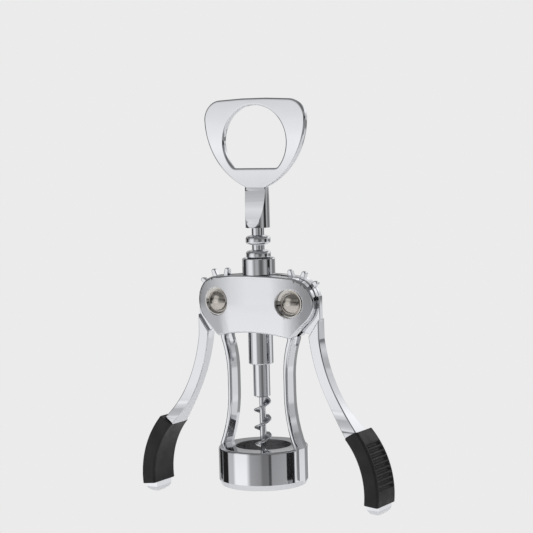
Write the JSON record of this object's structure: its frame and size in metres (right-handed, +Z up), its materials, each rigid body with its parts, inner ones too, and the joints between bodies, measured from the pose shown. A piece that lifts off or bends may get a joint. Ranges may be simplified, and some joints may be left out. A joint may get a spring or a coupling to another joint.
{
  "type": "wing corkscrew",
  "caption": "Wing corkscrew: geared levers lift a round rack with its worm, a collar seats on the bottle, and the handle is a bottle opener.",
  "frame": {"origin": "centre of the collar's mouth, where the bottle's neck goes in", "axes": "+Z up the spindle to the opener, +X through the right wing, front face towards -Y"},
  "size_m": [0.123, 0.04, 0.18],
  "materials": {
    "chromed_zinc": "zinc die casting, polished and chrome plated",
    "chromed_steel": "steel, nickel and chrome plated",
    "polished_steel": "stainless steel, polished",
    "soft_touch_black": "moulded soft-touch plastic with a fine satin grain",
    "nylon": "moulded nylon"
  },
  "bodies": {
    "frame": {"body_casting": "chromed_zinc", "bottle_ring": "nylon", "neck_sleeve": "chromed_zinc", "pivot_cup_washers": "polished_steel", "left_pivot_bolt": "polished_steel", "right_pivot_bolt": "polished_steel", "left_pivot_cap": "polished_steel", "right_pivot_cap": "polished_steel", "pivot_spacers": "polished_steel"},
    "rack": {"rack_sleeve": "chromed_zinc"},
    "spindle": {"thrust_washer": "polished_steel", "spindle_rod": "polished_steel", "worm_ferrule": "chromed_steel", "worm": "chromed_steel", "bottle_opener": "chromed_zinc"},
    "left_wing": {"left_lever": "chromed_zinc", "left_grip": "soft_touch_black", "left_end_cap": "chromed_zinc"},
    "right_wing": {"right_lever": "chromed_zinc", "right_grip": "soft_touch_black", "right_end_cap": "chromed_zinc"}
  },
  "joints": [
    {"name": "rack_slide", "type": "slide", "parent": "frame", "child": "rack", "axis": [0, 0, -1], "range_m": [0, 0.03]},
    {"name": "spindle_turn", "type": "hinge", "parent": "rack", "child": "spindle", "pos_m": [0, 0, 0.1], "axis": [0, 0, 1], "continuous": true},
    {"name": "left_wing_swing", "type": "hinge", "parent": "frame", "child": "left_wing", "pos_m": [-0.0187, 0, 0.0814], "axis": [0, 1, 0], "range_deg": [0, 138.5]},
    {"name": "right_wing_swing", "type": "hinge", "parent": "frame", "child": "right_wing", "pos_m": [0.0187, 0, 0.0814], "axis": [0, -1, 0], "range_deg": [0, 138.5]}
  ],
  "couplings": [
    {"joint": "left_wing_swing", "follows": "rack_slide", "rad_per_m": 80.554},
    {"joint": "right_wing_swing", "follows": "rack_slide", "rad_per_m": 80.554}
  ]
}
